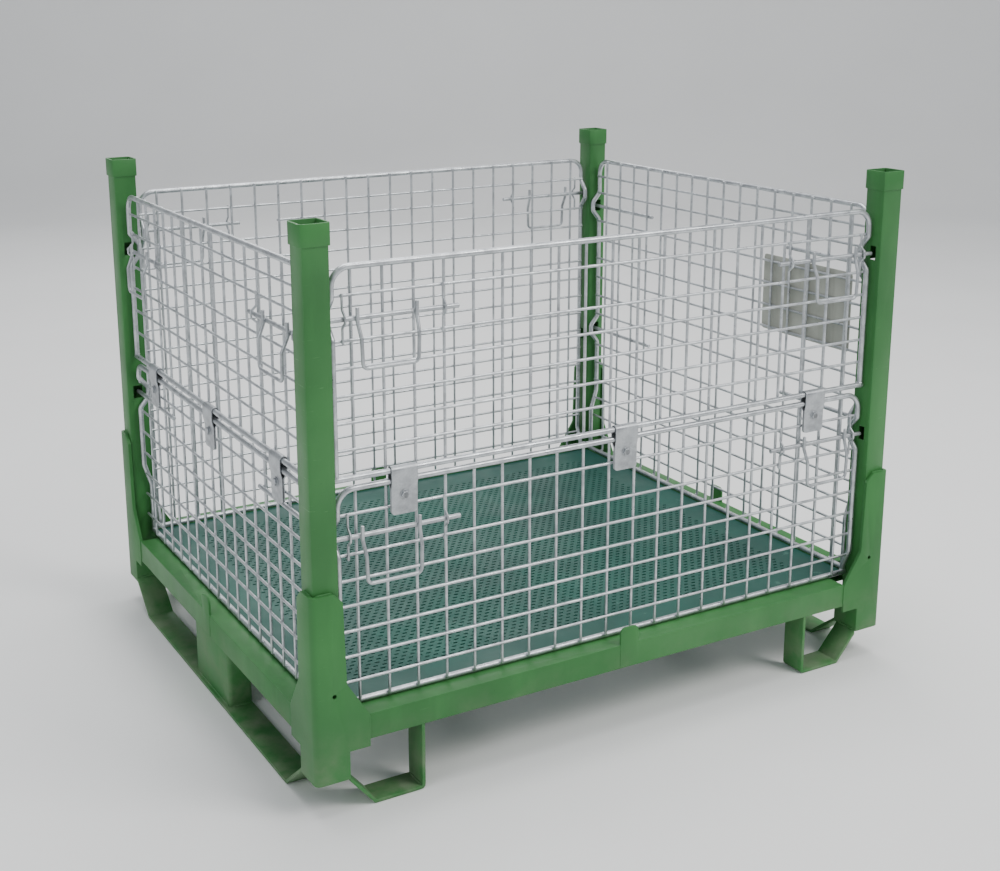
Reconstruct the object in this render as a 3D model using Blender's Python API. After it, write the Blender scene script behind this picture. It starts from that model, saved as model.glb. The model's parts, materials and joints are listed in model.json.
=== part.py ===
"""Stacking wire mesh container on a 1200 x 1000 mm footprint, in metres.

Origin: centre of the footprint, on the ground. +X runs along the long side, +Z up, and the front is -Y.
A painted steel base carries four posts. The front and the left side each have a lower and an upper mesh
panel, and clips hinge the upper one on the lower one. The back and the right side are one panel each. The
right panel and the lower left one are fixed by welded rods; sliding latch bolts lock the other panels.
"""

import math

import bmesh
import bpy
from mathutils import Matrix

# Overall
LENGTH = 1.200
WIDTH = 1.000
HEIGHT = 0.950
GAP = 0.0003  # between parts that touch

# Posts and their stacking collars
POST = 0.045
POST_WALL = 0.003
POST_INSET = 0.007  # from the footprint's edge to the post's outer face
POST_RADIUS = 0.004
COLLAR_PROUD = 0.003
COLLAR_HEIGHT = 0.034
LONG_SLOT = (0.019, 0.033)  # both from the footprint's edge
SHORT_SLOT = (0.0195, 0.0385)  # wider, for bolts and welded rods
SLOT_HEIGHT = 0.026

# Corner sleeves with their gussets and foot sockets
SLEEVE = 0.0067
SLEEVE_TOP = 0.377
SLEEVE_FOLD_RADIUS = 0.010
FOOT_BOTTOM = 0.057
FOOT_SIZE = 0.060
SOCKET_START = 0.0035
SOCKET_SIZE = 0.052
SOCKET_TOP = 0.106
GUSSET_REACH = 0.096
GUSSET_BOTTOM = 0.105
DRAIN_HOLE_RADIUS = 0.004

# Rails, floor and runners
RAIL_BOTTOM = 0.117
RAIL_TOP = 0.161
RAIL_INSET = 0.0015
RAIL_DEPTH = 0.046
RAIL_WALL = 0.003
LUG_WIDTH = 0.038
LUG_TOP = 0.193
LUG_RADIUS = 0.010
FLOOR_INSET = 0.0492
FLOOR_THICKNESS = 0.003
BEARER_WIDTH = 0.040
BEARER_X = 0.250
STRIP = 0.006  # thickness of the runners and foot loops
RUNNER_WIDTH = 0.052
RUNNER_HALF_FLAT = 0.372
BLOCK_LENGTH = 0.180
BLOCK_DEPTH = 0.045
BLOCK_INSET = 0.0075
BLOCK_WALL = 0.004
BLOCK_RADIUS = 0.008
LOOP_WIDTH = 0.050
LOOP_FLAT_START = 0.103  # both from the footprint's end
LOOP_LEG = 0.195

# Mesh panels
BAR = 0.005  # radius of the frame bars
WIRE = 0.0025  # radius of the mesh wires
GUIDE = 0.002  # radius of the latch guides
PITCH = 0.053  # between upright wires
PANEL_INSET = POST_INSET + POST / 2
SIDE_BAR_GAP = 0.0095  # from a post's inner face to the centre of a side bar
BAR_OVERHANG = 0.0055
BAR_END = 0.0013  # how far a bar or wire runs past the centre of the one it's welded to
CORNER_RADIUS = 0.030
LEVEL_OFFSET = 0.0035  # inwards from the frame bars to the level wires
UPRIGHT_OFFSET = 0.0070
JOGGLE = 0.014  # how far a panel that stands on a rail steps in at its foot
LONG_JOGGLE = (0.180, 0.215)  # the heights between which it steps in
SHORT_JOGGLE = (0.268, 0.3145)
CROOK_DEPTH = 0.018  # how far a side bar steps in, past its bolt
CROOK_HEIGHT = 0.064
CROOK_STRAIGHT = 0.020
LOWER_BOTTOM = RAIL_TOP + BAR + GAP
LOWER_TOP = 0.531
UPPER_BOTTOM = 0.548
UPPER_TOP = 0.878
LONG_LATCHES = (0.453, 0.799)  # staggered against the short sides', since both reach into a post
SHORT_LATCHES = (0.470, 0.770)
LONG_UPRIGHTS = 20
SHORT_UPRIGHTS = 16
SHOWN_UPRIGHT = 4  # every fourth upright wire is modelled here

# Latch bolts
ROD = 0.004
ROD_LENGTH = 0.220
ROD_OFFSET = 0.0035  # outwards from the frame bars
ROD_CLEAR = 0.004  # from the resting rod's end to the post, so that it passes the collar
WELDED_OFFSET = 0.0025  # inwards from the frame bars to a welded rod
WELDED_LENGTH = 0.233
WELDED_ENTRY = 0.009  # how far a welded rod reaches into its post
HANDLE = 0.003
HANDLE_WIDTH = 0.100
HANDLE_FOOT_WIDTH = 0.094
HANDLE_START = 0.044  # from the rod's outer end to the first leg
HANDLE_STUB = 0.017
HANDLE_DROP = 0.076
HANDLE_STEP = 0.010
GUIDE_NEAR = 0.027  # both from a post's inner face
GUIDE_FAR = 0.198
GUIDE_REACH = 0.039
GUIDE_HALF_V = 0.014
GUIDE_HALF_TIP = 0.005
GUIDE_TIP = 0.012

# Hinge clips
CLIP_WIDTH = 0.046
CLIP_SHEET = 0.002
CLIP_CLEAR = 0.0006
CLIP_BOTTOM = 0.4755
CLIP_PINCH = 0.517
CLIP_BOLT = 0.507
CLIP_LEAF_GAP = 0.0012
CLIP_SHIFT = 0.0022  # outwards, so that the leaves hang clear of the level wires
BOLT_HEAD = 0.0075
BOLT_HEAD_HEIGHT = 0.005
LONG_CLIPS = (-8 * PITCH, 0.0, 8 * PITCH)
SHORT_CLIPS = (-6 * PITCH, 0.0, 6 * PITCH)

# Label plate on the right-hand panel
LABEL_WIDTH = 0.250
LABEL_HEIGHT = 0.155
LABEL_THICKNESS = 0.0015
LABEL_CENTRE_Y = -0.280
LABEL_CENTRE_Z = 0.670

HALF_LENGTH = LENGTH / 2
HALF_WIDTH = WIDTH / 2
LONG_OPENING = HALF_LENGTH - POST_INSET - POST
SHORT_OPENING = HALF_WIDTH - POST_INSET - POST
CORNERS = {
    "front_left": (-1, -1),
    "front_right": (1, -1),
    "back_left": (-1, 1),
    "back_right": (1, 1),
}
# name: turn about Z from the front, half the opening between posts, distance from the centre to the panels,
# upright wires, clips, and the heights of the step at the foot
SIDES = {
    "front": (0, LONG_OPENING, HALF_WIDTH - PANEL_INSET, LONG_UPRIGHTS, LONG_CLIPS, LONG_JOGGLE),
    "back": (180, LONG_OPENING, HALF_WIDTH - PANEL_INSET, LONG_UPRIGHTS, (), LONG_JOGGLE),
    "left": (-90, SHORT_OPENING, HALF_LENGTH - PANEL_INSET, SHORT_UPRIGHTS, SHORT_CLIPS, SHORT_JOGGLE),
    "right": (90, SHORT_OPENING, HALF_LENGTH - PANEL_INSET, SHORT_UPRIGHTS, (), SHORT_JOGGLE),
}
# name: side, bottom, top, heights of its rods, whether they slide as bolts, level wires modelled here
PANELS = {
    "lower_panel_front": (
        "front", LOWER_BOTTOM, LOWER_TOP, LONG_LATCHES[:1], True, (0.2068, 0.2928, 0.4218, 0.488)
    ),
    "upper_panel_front": (
        "front", UPPER_BOTTOM, UPPER_TOP, LONG_LATCHES[1:], True, (0.592, 0.678, 0.764, 0.834)
    ),
    "lower_panel_left": (
        "left", LOWER_BOTTOM, LOWER_TOP, SHORT_LATCHES[:1], False, (0.205, 0.296, 0.431, 0.494)
    ),
    "upper_panel_left": (
        "left", UPPER_BOTTOM, UPPER_TOP, SHORT_LATCHES[1:], True, (0.5985, 0.6905, 0.735, 0.802)
    ),
    "full_panel_back": (
        "back", LOWER_BOTTOM, UPPER_TOP, LONG_LATCHES[1:], True,
        (0.205, 0.291, 0.377, 0.463, 0.549, 0.635, 0.764, 0.834),
    ),
    "full_panel_right": (
        "right", LOWER_BOTTOM, UPPER_TOP, SHORT_LATCHES, False,
        (0.205, 0.296, 0.431, 0.5075, 0.5985, 0.6905, 0.735, 0.802),
    ),
}


# ---------------------------------------------------------------- scene and materials


def clear_scene():
    for obj in list(bpy.data.objects):
        bpy.data.objects.remove(obj, do_unlink=True)


def make_collection():
    collection = bpy.data.collections.new("wire_mesh_container")
    bpy.context.scene.collection.children.link(collection)
    return collection


def make_material(name, colour, roughness, metallic):
    material = bpy.data.materials.new(name)
    material.use_nodes = True
    shader = material.node_tree.nodes["Principled BSDF"]
    shader.inputs["Base Color"].default_value = (*colour, 1.0)
    shader.inputs["Roughness"].default_value = roughness
    shader.inputs["Metallic"].default_value = metallic
    return material


clear_scene()
COLLECTION = make_collection()
GREEN = make_material("green_paint", (0.085, 0.225, 0.065), 0.45, 0.0)
FLOOR_GREEN = make_material("floor_paint", (0.040, 0.150, 0.120), 0.5, 0.0)
ZINC = make_material("galvanised_wire", (0.62, 0.64, 0.66), 0.35, 1.0)
PLATE_GREY = make_material("label_plate", (0.40, 0.39, 0.33), 0.5, 0.0)


# ---------------------------------------------------------------- mesh helpers


def add_object(name, mesh, material, parent=None, location=(0, 0, 0)):
    mesh.materials.clear()
    mesh.materials.append(material)
    obj = bpy.data.objects.new(name, mesh)
    COLLECTION.objects.link(obj)
    obj.parent = parent
    obj.location = location
    return obj


def add_empty(name, turn=0.0):
    empty = bpy.data.objects.new(name, None)
    COLLECTION.objects.link(empty)
    empty.rotation_euler = (0, 0, math.radians(turn))
    return empty


def mesh_from_curve(curve):
    """The curve's solid as a mesh, with its loose caps welded on."""
    obj = bpy.data.objects.new("curve", curve)
    COLLECTION.objects.link(obj)
    graph = bpy.context.evaluated_depsgraph_get()
    mesh = bpy.data.meshes.new_from_object(obj.evaluated_get(graph))
    bpy.data.objects.remove(obj)
    bpy.data.curves.remove(curve)
    bm = bmesh.new()
    bm.from_mesh(mesh)
    bmesh.ops.remove_doubles(bm, verts=bm.verts, dist=1e-5)
    bmesh.ops.recalc_face_normals(bm, faces=bm.faces)
    bm.to_mesh(mesh)
    bm.free()
    return mesh


def rod_mesh(points, radius, resolution=1):
    """A round bar through the points, with flat ends."""
    curve = bpy.data.curves.new("bar", "CURVE")
    curve.dimensions = "3D"
    curve.bevel_depth = radius
    curve.bevel_resolution = resolution
    curve.use_fill_caps = True
    spline = curve.splines.new("POLY")
    spline.points.add(len(points) - 1)
    for place, point in zip(spline.points, points):
        place.co = (*point, 1)
    return mesh_from_curve(curve)


def plate_mesh(outlines, thickness, plane="xz"):
    """A flat plate from closed outlines, the first the edge and the rest holes. It starts at 0 across its
    plane, and runs in +Y for plane xz, +X for yz and +Z for xy."""
    curve = bpy.data.curves.new("plate", "CURVE")
    curve.dimensions = "2D"
    curve.fill_mode = "BOTH"
    curve.extrude = thickness / 2
    for outline in outlines:
        spline = curve.splines.new("POLY")
        spline.points.add(len(outline) - 1)
        spline.use_cyclic_u = True
        for place, point in zip(spline.points, outline):
            place.co = (*point, 0, 1)
    mesh = mesh_from_curve(curve)
    mesh.transform(Matrix.Translation((0, 0, thickness / 2)))
    columns = {
        "xy": ((1, 0, 0), (0, 1, 0), (0, 0, 1)),
        "xz": ((1, 0, 0), (0, 0, 1), (0, 1, 0)),
        "yz": ((0, 1, 0), (0, 0, 1), (1, 0, 0)),
    }[plane]
    turn = Matrix(columns).transposed()
    mesh.transform(turn.to_4x4())
    if turn.determinant() < 0:
        mesh.flip_normals()
    return mesh


def box_mesh(low, high):
    bm = bmesh.new()
    bmesh.ops.create_cube(bm, size=1)
    size = [b - a for a, b in zip(low, high)]
    centre = [(a + b) / 2 for a, b in zip(low, high)]
    bmesh.ops.scale(bm, verts=bm.verts, vec=size)
    bmesh.ops.translate(bm, verts=bm.verts, vec=centre)
    mesh = bpy.data.meshes.new("box")
    bm.to_mesh(mesh)
    bm.free()
    return mesh


def prism_mesh(radius, height, sides, matrix):
    bm = bmesh.new()
    bmesh.ops.create_cone(
        bm, cap_ends=True, segments=sides, radius1=radius, radius2=radius, depth=height, matrix=matrix
    )
    mesh = bpy.data.meshes.new("prism")
    bm.to_mesh(mesh)
    bm.free()
    return mesh


def combine(base, others, operation="UNION"):
    """The base mesh with all of the others joined to it, cut from it or kept in common with it."""
    body = bpy.data.objects.new("body", base)
    COLLECTION.objects.link(body)
    tools = bpy.data.collections.new("tools")
    for other in others:
        tools.objects.link(bpy.data.objects.new("tool", other))
    modifier = body.modifiers.new("combine", "BOOLEAN")
    modifier.operation = operation
    modifier.operand_type = "COLLECTION"
    modifier.collection = tools
    modifier.solver = "EXACT"
    bpy.context.scene.collection.children.link(tools)
    graph = bpy.context.evaluated_depsgraph_get()
    mesh = bpy.data.meshes.new_from_object(body.evaluated_get(graph))
    for obj in [body, *tools.objects]:
        bpy.data.objects.remove(obj)
    bpy.data.collections.remove(tools)
    return mesh


def moved(mesh, offset):
    mesh.transform(Matrix.Translation(offset))
    return mesh


def mirrored(mesh, x_sign, y_sign=1):
    """A copy of the mesh, reflected where a sign is -1."""
    copy = mesh.copy()
    copy.transform(Matrix.Diagonal((x_sign, y_sign, 1, 1)))
    if x_sign * y_sign < 0:
        copy.flip_normals()
    return copy


def arc(centre, radius, start, end, steps):
    """Points round a centre, with the angles in degrees."""
    angles = [math.radians(start + (end - start) * i / steps) for i in range(steps + 1)]
    return [(centre[0] + radius * math.cos(a), centre[1] + radius * math.sin(a)) for a in angles]


def rounded_rectangle(low, high, radius, steps=2):
    (x0, y0), (x1, y1) = low, high
    return (
        arc((x1 - radius, y1 - radius), radius, 0, 90, steps)
        + arc((x0 + radius, y1 - radius), radius, 90, 180, steps)
        + arc((x0 + radius, y0 + radius), radius, 180, 270, steps)
        + arc((x1 - radius, y0 + radius), radius, 270, 360, steps)
    )


def rectangle(low, high):
    return [low, (high[0], low[1]), high, (low[0], high[1])]


# ---------------------------------------------------------------- base frame


def square_tube(start, size, wall, radius, bottom, top):
    """An upright square tube whose corner nearest the footprint's corner is at start, start."""
    outer = rounded_rectangle((start, start), (start + size, start + size), radius)
    inner = rectangle((start + wall, start + wall), (start + size - wall, start + size - wall))
    return moved(plate_mesh([outer, inner], top - bottom, "xy"), (0, 0, bottom))


def post_mesh():
    """A post at a corner at the origin, with the container in +X and +Y."""
    tube = square_tube(POST_INSET, POST, POST_WALL, POST_RADIUS, SOCKET_TOP + GAP, HEIGHT - 0.001)
    collar_start = POST_INSET - COLLAR_PROUD
    collar_size = POST + 2 * COLLAR_PROUD
    collar = square_tube(
        collar_start,
        collar_size,
        COLLAR_PROUD + POST_WALL / 2,
        POST_RADIUS + COLLAR_PROUD,
        HEIGHT - COLLAR_HEIGHT,
        HEIGHT,
    )
    post = combine(tube, [collar])
    inside = POST_INSET + POST - 2 * POST_WALL
    outside = POST_INSET + POST + POST_WALL
    half = SLOT_HEIGHT / 2
    slots = []
    for height in LONG_LATCHES:
        low, high = LONG_SLOT
        slots.append(box_mesh((inside, low, height - half), (outside, high, height + half)))
    for height in SHORT_LATCHES:
        low, high = SHORT_SLOT
        slots.append(box_mesh((low, inside, height - half), (high, outside, height + half)))
    mouth = (POST_INSET + 0.0005,) * 2
    far = (POST_INSET + POST - 0.0005,) * 2
    slots.append(box_mesh((*mouth, HEIGHT - COLLAR_HEIGHT + 0.005), (*far, HEIGHT + 0.01)))
    return combine(post, slots, "DIFFERENCE")


def sleeve_outline():
    """One face of a corner sleeve, measured from the corner: foot, gusset, and chamfered top."""
    return [
        (0, FOOT_BOTTOM),
        (FOOT_SIZE, FOOT_BOTTOM),
        (FOOT_SIZE, GUSSET_BOTTOM),
        (GUSSET_REACH, GUSSET_BOTTOM),
        (GUSSET_REACH, RAIL_TOP),
        (0.058, 0.222),
        (0.0545, SLEEVE_TOP - 0.016),
        (0.039, SLEEVE_TOP),
        (0, SLEEVE_TOP),
    ]


def sleeve_mesh():
    """A sleeve at a corner at the origin, with the container in +X and +Y."""
    hole = arc((0.036, 0.206), DRAIN_HOLE_RADIUS, 0, 315, 7)
    front = plate_mesh([sleeve_outline(), hole], SLEEVE, "xz")
    side = plate_mesh([sleeve_outline()], SLEEVE, "yz")
    foot = plate_mesh(
        [
            rectangle((SLEEVE / 2, SLEEVE / 2), (FOOT_SIZE, FOOT_SIZE)),
            rectangle((SOCKET_START,) * 2, (SOCKET_START + SOCKET_SIZE,) * 2),
        ],
        SOCKET_TOP - 0.001 - FOOT_BOTTOM,
        "xy",
    )
    moved(foot, (0, 0, FOOT_BOTTOM))
    sleeve = combine(front, [side, foot])
    socket = box_mesh(
        (SOCKET_START, SOCKET_START, 0), (SOCKET_START + SOCKET_SIZE, SOCKET_START + SOCKET_SIZE, SOCKET_TOP)
    )
    sleeve = combine(sleeve, [socket], "DIFFERENCE")
    fold = arc((SLEEVE_FOLD_RADIUS, SLEEVE_FOLD_RADIUS), SLEEVE_FOLD_RADIUS, 180, 270, 3)
    folded = plate_mesh([[(0, 0.2), *fold, (0.2, 0), (0.2, 0.2)]], 0.5, "xy")
    return combine(sleeve, [folded], "INTERSECT")


def build_corners():
    post = post_mesh()
    sleeve = sleeve_mesh()
    for name, (x_sign, y_sign) in CORNERS.items():
        place = (x_sign * HALF_LENGTH, y_sign * HALF_WIDTH, 0)
        add_object(f"post_{name}", mirrored(post, -x_sign, -y_sign), GREEN, location=place)
        add_object(f"corner_sleeve_{name}", mirrored(sleeve, -x_sign, -y_sign), GREEN, location=place)


def rail_mesh(half_length, half_depth):
    """The front rail of a side: a channel open to the inside, with a lug over the middle of its web."""
    outer = half_depth - RAIL_INSET
    inner = outer - RAIL_DEPTH
    section = [
        (-outer, RAIL_BOTTOM),
        (-inner, RAIL_BOTTOM),
        (-inner, RAIL_BOTTOM + RAIL_WALL),
        (-outer + RAIL_WALL, RAIL_BOTTOM + RAIL_WALL),
        (-outer + RAIL_WALL, RAIL_TOP - RAIL_WALL),
        (-inner, RAIL_TOP - RAIL_WALL),
        (-inner, RAIL_TOP),
        (-outer, RAIL_TOP),
    ]
    channel = moved(plate_mesh([section], 2 * half_length, "yz"), (-half_length, 0, 0))
    half = LUG_WIDTH / 2
    lug_outline = [
        (-half, RAIL_BOTTOM + RAIL_WALL / 2),
        (half, RAIL_BOTTOM + RAIL_WALL / 2),
        *arc((half - LUG_RADIUS, LUG_TOP - LUG_RADIUS), LUG_RADIUS, 0, 90, 3),
        *arc((-half + LUG_RADIUS, LUG_TOP - LUG_RADIUS), LUG_RADIUS, 90, 180, 3),
    ]
    lug = moved(plate_mesh([lug_outline], RAIL_WALL + 0.001, "xz"), (0, -outer - 0.001, 0))
    return combine(channel, [lug])


def build_rails(sides):
    lengths = {"front": (HALF_LENGTH, HALF_WIDTH), "left": (HALF_WIDTH, HALF_LENGTH)}
    for first, second in (("front", "back"), ("left", "right")):
        along, depth = lengths[first]
        mesh = rail_mesh(along - GUSSET_REACH - GAP, depth)
        for name in (first, second):
            add_object(f"rail_{name}", mesh.copy(), GREEN, sides[name])


def floor_outline(inset_x, inset_y, notch):
    """A rectangle with a square notch at each corner, clear of the posts."""
    x, y = HALF_LENGTH - inset_x, HALF_WIDTH - inset_y
    return [
        (-x + notch, -y), (x - notch, -y), (x - notch, -y + notch), (x, -y + notch),
        (x, y - notch), (x - notch, y - notch), (x - notch, y), (-x + notch, y),
        (-x + notch, y - notch), (-x, y - notch), (-x, -y + notch), (-x + notch, -y + notch),
    ]


def build_floor():
    notch = POST_INSET + POST + 0.003 - FLOOR_INSET
    sheet = plate_mesh([floor_outline(FLOOR_INSET, FLOOR_INSET, notch)], FLOOR_THICKNESS, "xy")
    moved(sheet, (0, 0, RAIL_TOP - FLOOR_THICKNESS))
    add_object("floor_sheet", sheet, FLOOR_GREEN)
    top = RAIL_TOP - FLOOR_THICKNESS - GAP
    bottom = RAIL_BOTTOM + 0.001
    half = BEARER_WIDTH / 2
    section = [
        (-half, bottom),
        (-half + RAIL_WALL, bottom),
        (-half + RAIL_WALL, top - RAIL_WALL),
        (half - RAIL_WALL, top - RAIL_WALL),
        (half - RAIL_WALL, bottom),
        (half, bottom),
        (half, top),
        (-half, top),
    ]
    reach = HALF_WIDTH - FLOOR_INSET
    for name, x in (("left", -BEARER_X), ("right", BEARER_X)):
        bearer = plate_mesh([section], 2 * reach, "xz")
        add_object(f"floor_bearer_{name}", moved(bearer, (0, -reach, 0)), GREEN, location=(x, 0, 0))


def runner_mesh():
    """A flat strip along Y that lies on the ground, with both ends bent up to the feet."""
    end = HALF_WIDTH - FOOT_SIZE - GAP
    flat = RUNNER_HALF_FLAT
    inner_flat = flat - 0.0025
    outline = [
        (-end, FOOT_BOTTOM),
        (-flat, 0),
        (flat, 0),
        (end, FOOT_BOTTOM),
        (end, FOOT_BOTTOM + STRIP + 0.0015),
        (inner_flat, STRIP),
        (-inner_flat, STRIP),
        (-end, FOOT_BOTTOM + STRIP + 0.0015),
    ]
    return plate_mesh([outline], RUNNER_WIDTH, "yz")


def block_mesh():
    """The short upright box tube that carries a side rail on its runner."""
    half = BLOCK_LENGTH / 2
    outer = rounded_rectangle((0, -half), (BLOCK_DEPTH, half), BLOCK_RADIUS, 3)
    inner = rectangle((BLOCK_WALL, -half + BLOCK_WALL), (BLOCK_DEPTH - BLOCK_WALL, half - BLOCK_WALL))
    bottom = STRIP + GAP
    return moved(plate_mesh([outer, inner], RAIL_BOTTOM - GAP - bottom, "xy"), (0, 0, bottom))


def loop_mesh():
    """The bent strip between a foot and the long rail, measured from a corner at the origin."""
    start = FOOT_SIZE + GAP
    outer_corner = arc((LOOP_LEG - 0.008, 0.008), 0.008, 270, 360, 3)
    outline = [
        (start, FOOT_BOTTOM - 0.006),
        (LOOP_FLAT_START, 0),
        *outer_corner,
        (LOOP_LEG, RAIL_BOTTOM - GAP),
        (LOOP_LEG - STRIP, RAIL_BOTTOM - GAP),
        (LOOP_LEG - STRIP, STRIP),
        (LOOP_FLAT_START + 0.0025, STRIP),
        (start, FOOT_BOTTOM + 0.002),
    ]
    return moved(plate_mesh([outline], LOOP_WIDTH, "xz"), (0, RAIL_INSET, 0))


def build_feet():
    runner = runner_mesh()
    block = block_mesh()
    for name, x_sign in (("left", -1), ("right", 1)):
        edge = x_sign * HALF_LENGTH
        add_object(f"runner_{name}", mirrored(runner, -x_sign), GREEN, location=(edge, 0, 0))
        face = x_sign * (HALF_LENGTH - BLOCK_INSET)
        add_object(f"runner_block_{name}", mirrored(block, -x_sign), GREEN, location=(face, 0, 0))
    loop = loop_mesh()
    for name, (x_sign, y_sign) in CORNERS.items():
        place = (x_sign * HALF_LENGTH, y_sign * HALF_WIDTH, 0)
        add_object(f"foot_loop_{name}", mirrored(loop, -x_sign, -y_sign), GREEN, location=place)


# ---------------------------------------------------------------- mesh panels


def frame_points(side, top, latches, joggle):
    """The bent bar up one side, over the top and down the other side. Each side steps in past its rods, and
    joggle gives the two heights between which it steps in at its foot."""
    radius = CORNER_RADIUS
    step = CROOK_HEIGHT / 2
    flat = CROOK_STRAIGHT / 2
    left = [(-side, 0, -BAR_END)]
    if joggle:
        left = [(-side, JOGGLE, -BAR_END), (-side, JOGGLE, joggle[0]), (-side, 0, joggle[1])]
    for latch in latches:
        left += [
            (-side, 0, latch - step),
            (-side, CROOK_DEPTH, latch - flat),
            (-side, CROOK_DEPTH, latch + flat),
            (-side, 0, latch + step),
        ]
    corner = [(x, 0, z) for x, z in arc((-side + radius, top - radius), radius, 180, 90, 4)]
    corner = [point for point in corner if point[2] > latches[-1] + step]
    right = [(-x, y, z) for x, y, z in reversed(left + corner)]
    return left + corner + right


def guide_points(x, latch):
    """A straight wire with a V bent outwards round the bolt."""
    seat = LEVEL_OFFSET - WIRE - GUIDE + 0.0005
    tip = -ROD_OFFSET - GUIDE_TIP + 0.005
    return [
        (x, seat, latch - GUIDE_REACH),
        (x, seat, latch - GUIDE_HALF_V),
        (x, tip, latch - GUIDE_HALF_TIP),
        (x, tip, latch + GUIDE_HALF_TIP),
        (x, seat, latch + GUIDE_HALF_V),
        (x, seat, latch + GUIDE_REACH),
    ]


def panel_mesh(opening, uprights, bottom, top, latches, slides, levels, joggle):
    """A framed mesh panel, measured from the middle of its bottom bar, with its outer face in -Y."""
    side = opening - SIDE_BAR_GAP
    height = top - bottom
    heights = [latch - bottom for latch in latches]
    frame = rod_mesh(frame_points(side, height, heights, joggle), BAR)
    reach = side + BAR_OVERHANG
    foot = JOGGLE if joggle else 0
    parts = [rod_mesh([(-reach, foot, 0), (reach, foot, 0)], BAR)]
    for level in levels:
        wire = [(-side, LEVEL_OFFSET, level - bottom), (side, LEVEL_OFFSET, level - bottom)]
        parts.append(rod_mesh(wire, WIRE, 0))
    start = -(uprights - 1) / 2 * PITCH
    for i in range(2, uprights, SHOWN_UPRIGHT):
        x = start + i * PITCH
        wire = [(x, UPRIGHT_OFFSET, -BAR_END), (x, UPRIGHT_OFFSET, height + BAR_END)]
        parts.append(rod_mesh(wire, WIRE, 0))
    for sign in (-1, 1):
        for z in heights:
            if slides:
                for distance in (GUIDE_NEAR, GUIDE_FAR):
                    parts.append(rod_mesh(guide_points(sign * (opening - distance), z), GUIDE, 0))
            else:
                end = opening + WELDED_ENTRY
                rod = [(sign * end, WELDED_OFFSET, z), (sign * (end - WELDED_LENGTH), WELDED_OFFSET, z)]
                parts.append(rod_mesh(rod, ROD))
    return combine(frame, parts)


def latch_mesh():
    """A bolt for the left end of a panel, from the rod's outer end at the origin to its inner end in +X."""
    rod = rod_mesh([(0, 0, 0), (ROD_LENGTH, 0, 0)], ROD)
    front = -ROD - HANDLE + 0.001
    back = front - HANDLE_STEP
    near = HANDLE_START
    far = HANDLE_START + HANDLE_WIDTH
    taper = (HANDLE_WIDTH - HANDLE_FOOT_WIDTH) / 2
    bend = 0.006
    leg = [
        (near, front, HANDLE_STUB),
        (near, front, -0.006),
        (near + taper / 2, back, -0.030),
        (near + taper, back, -HANDLE_DROP + bend),
        (near + taper + bend, back, -HANDLE_DROP),
    ]
    other = [(near + far - x, y, z) for x, y, z in reversed(leg)]
    return combine(rod, [rod_mesh(leg + other, HANDLE)])


def clip_mesh():
    """A folded sheet clip, measured from the middle of the upper bar, with its bolt through both leaves."""
    outer = BAR + CLIP_CLEAR
    leaf = CLIP_LEAF_GAP / 2
    sheet = CLIP_SHEET
    low = CLIP_BOTTOM - UPPER_BOTTOM
    pinch = CLIP_PINCH - UPPER_BOTTOM
    straight = LOWER_TOP - UPPER_BOTTOM - 0.003
    front = [(-CLIP_SHIFT - leaf, low), (-CLIP_SHIFT - leaf, pinch), (-outer, straight)]
    back = [(outer, straight), (-CLIP_SHIFT + leaf, pinch), (-CLIP_SHIFT + leaf, low)]
    inner = front + arc((0, 0), outer, 180, 0, 6) + back
    front_out = [(y - sheet, z - 0.001 * (z > low)) for y, z in front]
    back_out = [(y + sheet, z - 0.001 * (z > low)) for y, z in back]
    fold_out = arc((0, 0), outer + sheet, 180, 0, 6)
    outline = inner + list(reversed(front_out + fold_out + back_out))
    strip = moved(plate_mesh([outline], CLIP_WIDTH, "yz"), (-CLIP_WIDTH / 2, 0, 0))
    length = CLIP_LEAF_GAP + 2 * CLIP_SHEET + 2 * BOLT_HEAD_HEIGHT
    centre = Matrix.Translation((0, -CLIP_SHIFT, CLIP_BOLT - UPPER_BOTTOM))
    turn = centre @ Matrix.Rotation(math.radians(90), 4, "X")
    bolt = prism_mesh(BOLT_HEAD, length, 6, turn)
    return combine(strip, [bolt])


def build_panels(sides):
    latches = {-1: latch_mesh()}
    latches[1] = mirrored(latches[-1], -1)
    clip = clip_mesh()
    for name, (side, bottom, top, heights, slides, levels) in PANELS.items():
        _turn, opening, depth, uprights, clips, steps = SIDES[side]
        joggle = [z - bottom for z in steps] if bottom == LOWER_BOTTOM else None
        mesh = panel_mesh(opening, uprights, bottom, top, heights, slides, levels, joggle)
        panel = add_object(name, mesh, ZINC, sides[side], (0, -depth, bottom))
        if slides:
            for end, sign in (("left", -1), ("right", 1)):
                place = (sign * (opening - ROD_CLEAR), -ROD_OFFSET, heights[0] - bottom)
                bolt = name.replace("_panel", "_bolt") + "_" + end
                add_object(bolt, latches[sign].copy(), ZINC, panel, place)
        if top == LOWER_TOP:
            for end, x in zip(("left", "middle", "right"), clips):
                place = (x, 0, UPPER_BOTTOM - bottom)
                add_object(f"hinge_clip_{side}_{end}", clip.copy(), ZINC, panel, place)


def build_label():
    """A blank plate on the outer face of the right-hand panel's level wires."""
    half = LABEL_WIDTH / 2
    outline = rounded_rectangle((-half, -LABEL_HEIGHT / 2), (half, LABEL_HEIGHT / 2), 0.006)
    label = plate_mesh([outline], LABEL_THICKNESS, "yz")
    wires = HALF_LENGTH - PANEL_INSET - LEVEL_OFFSET + WIRE + GAP
    add_object("label_plate", label, PLATE_GREY, location=(wires, LABEL_CENTRE_Y, LABEL_CENTRE_Z))


def main():
    sides = {name: add_empty(f"side_{name}", values[0]) for name, values in SIDES.items()}
    build_corners()
    build_rails(sides)
    build_floor()
    build_feet()
    build_panels(sides)
    build_label()


main()
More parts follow.
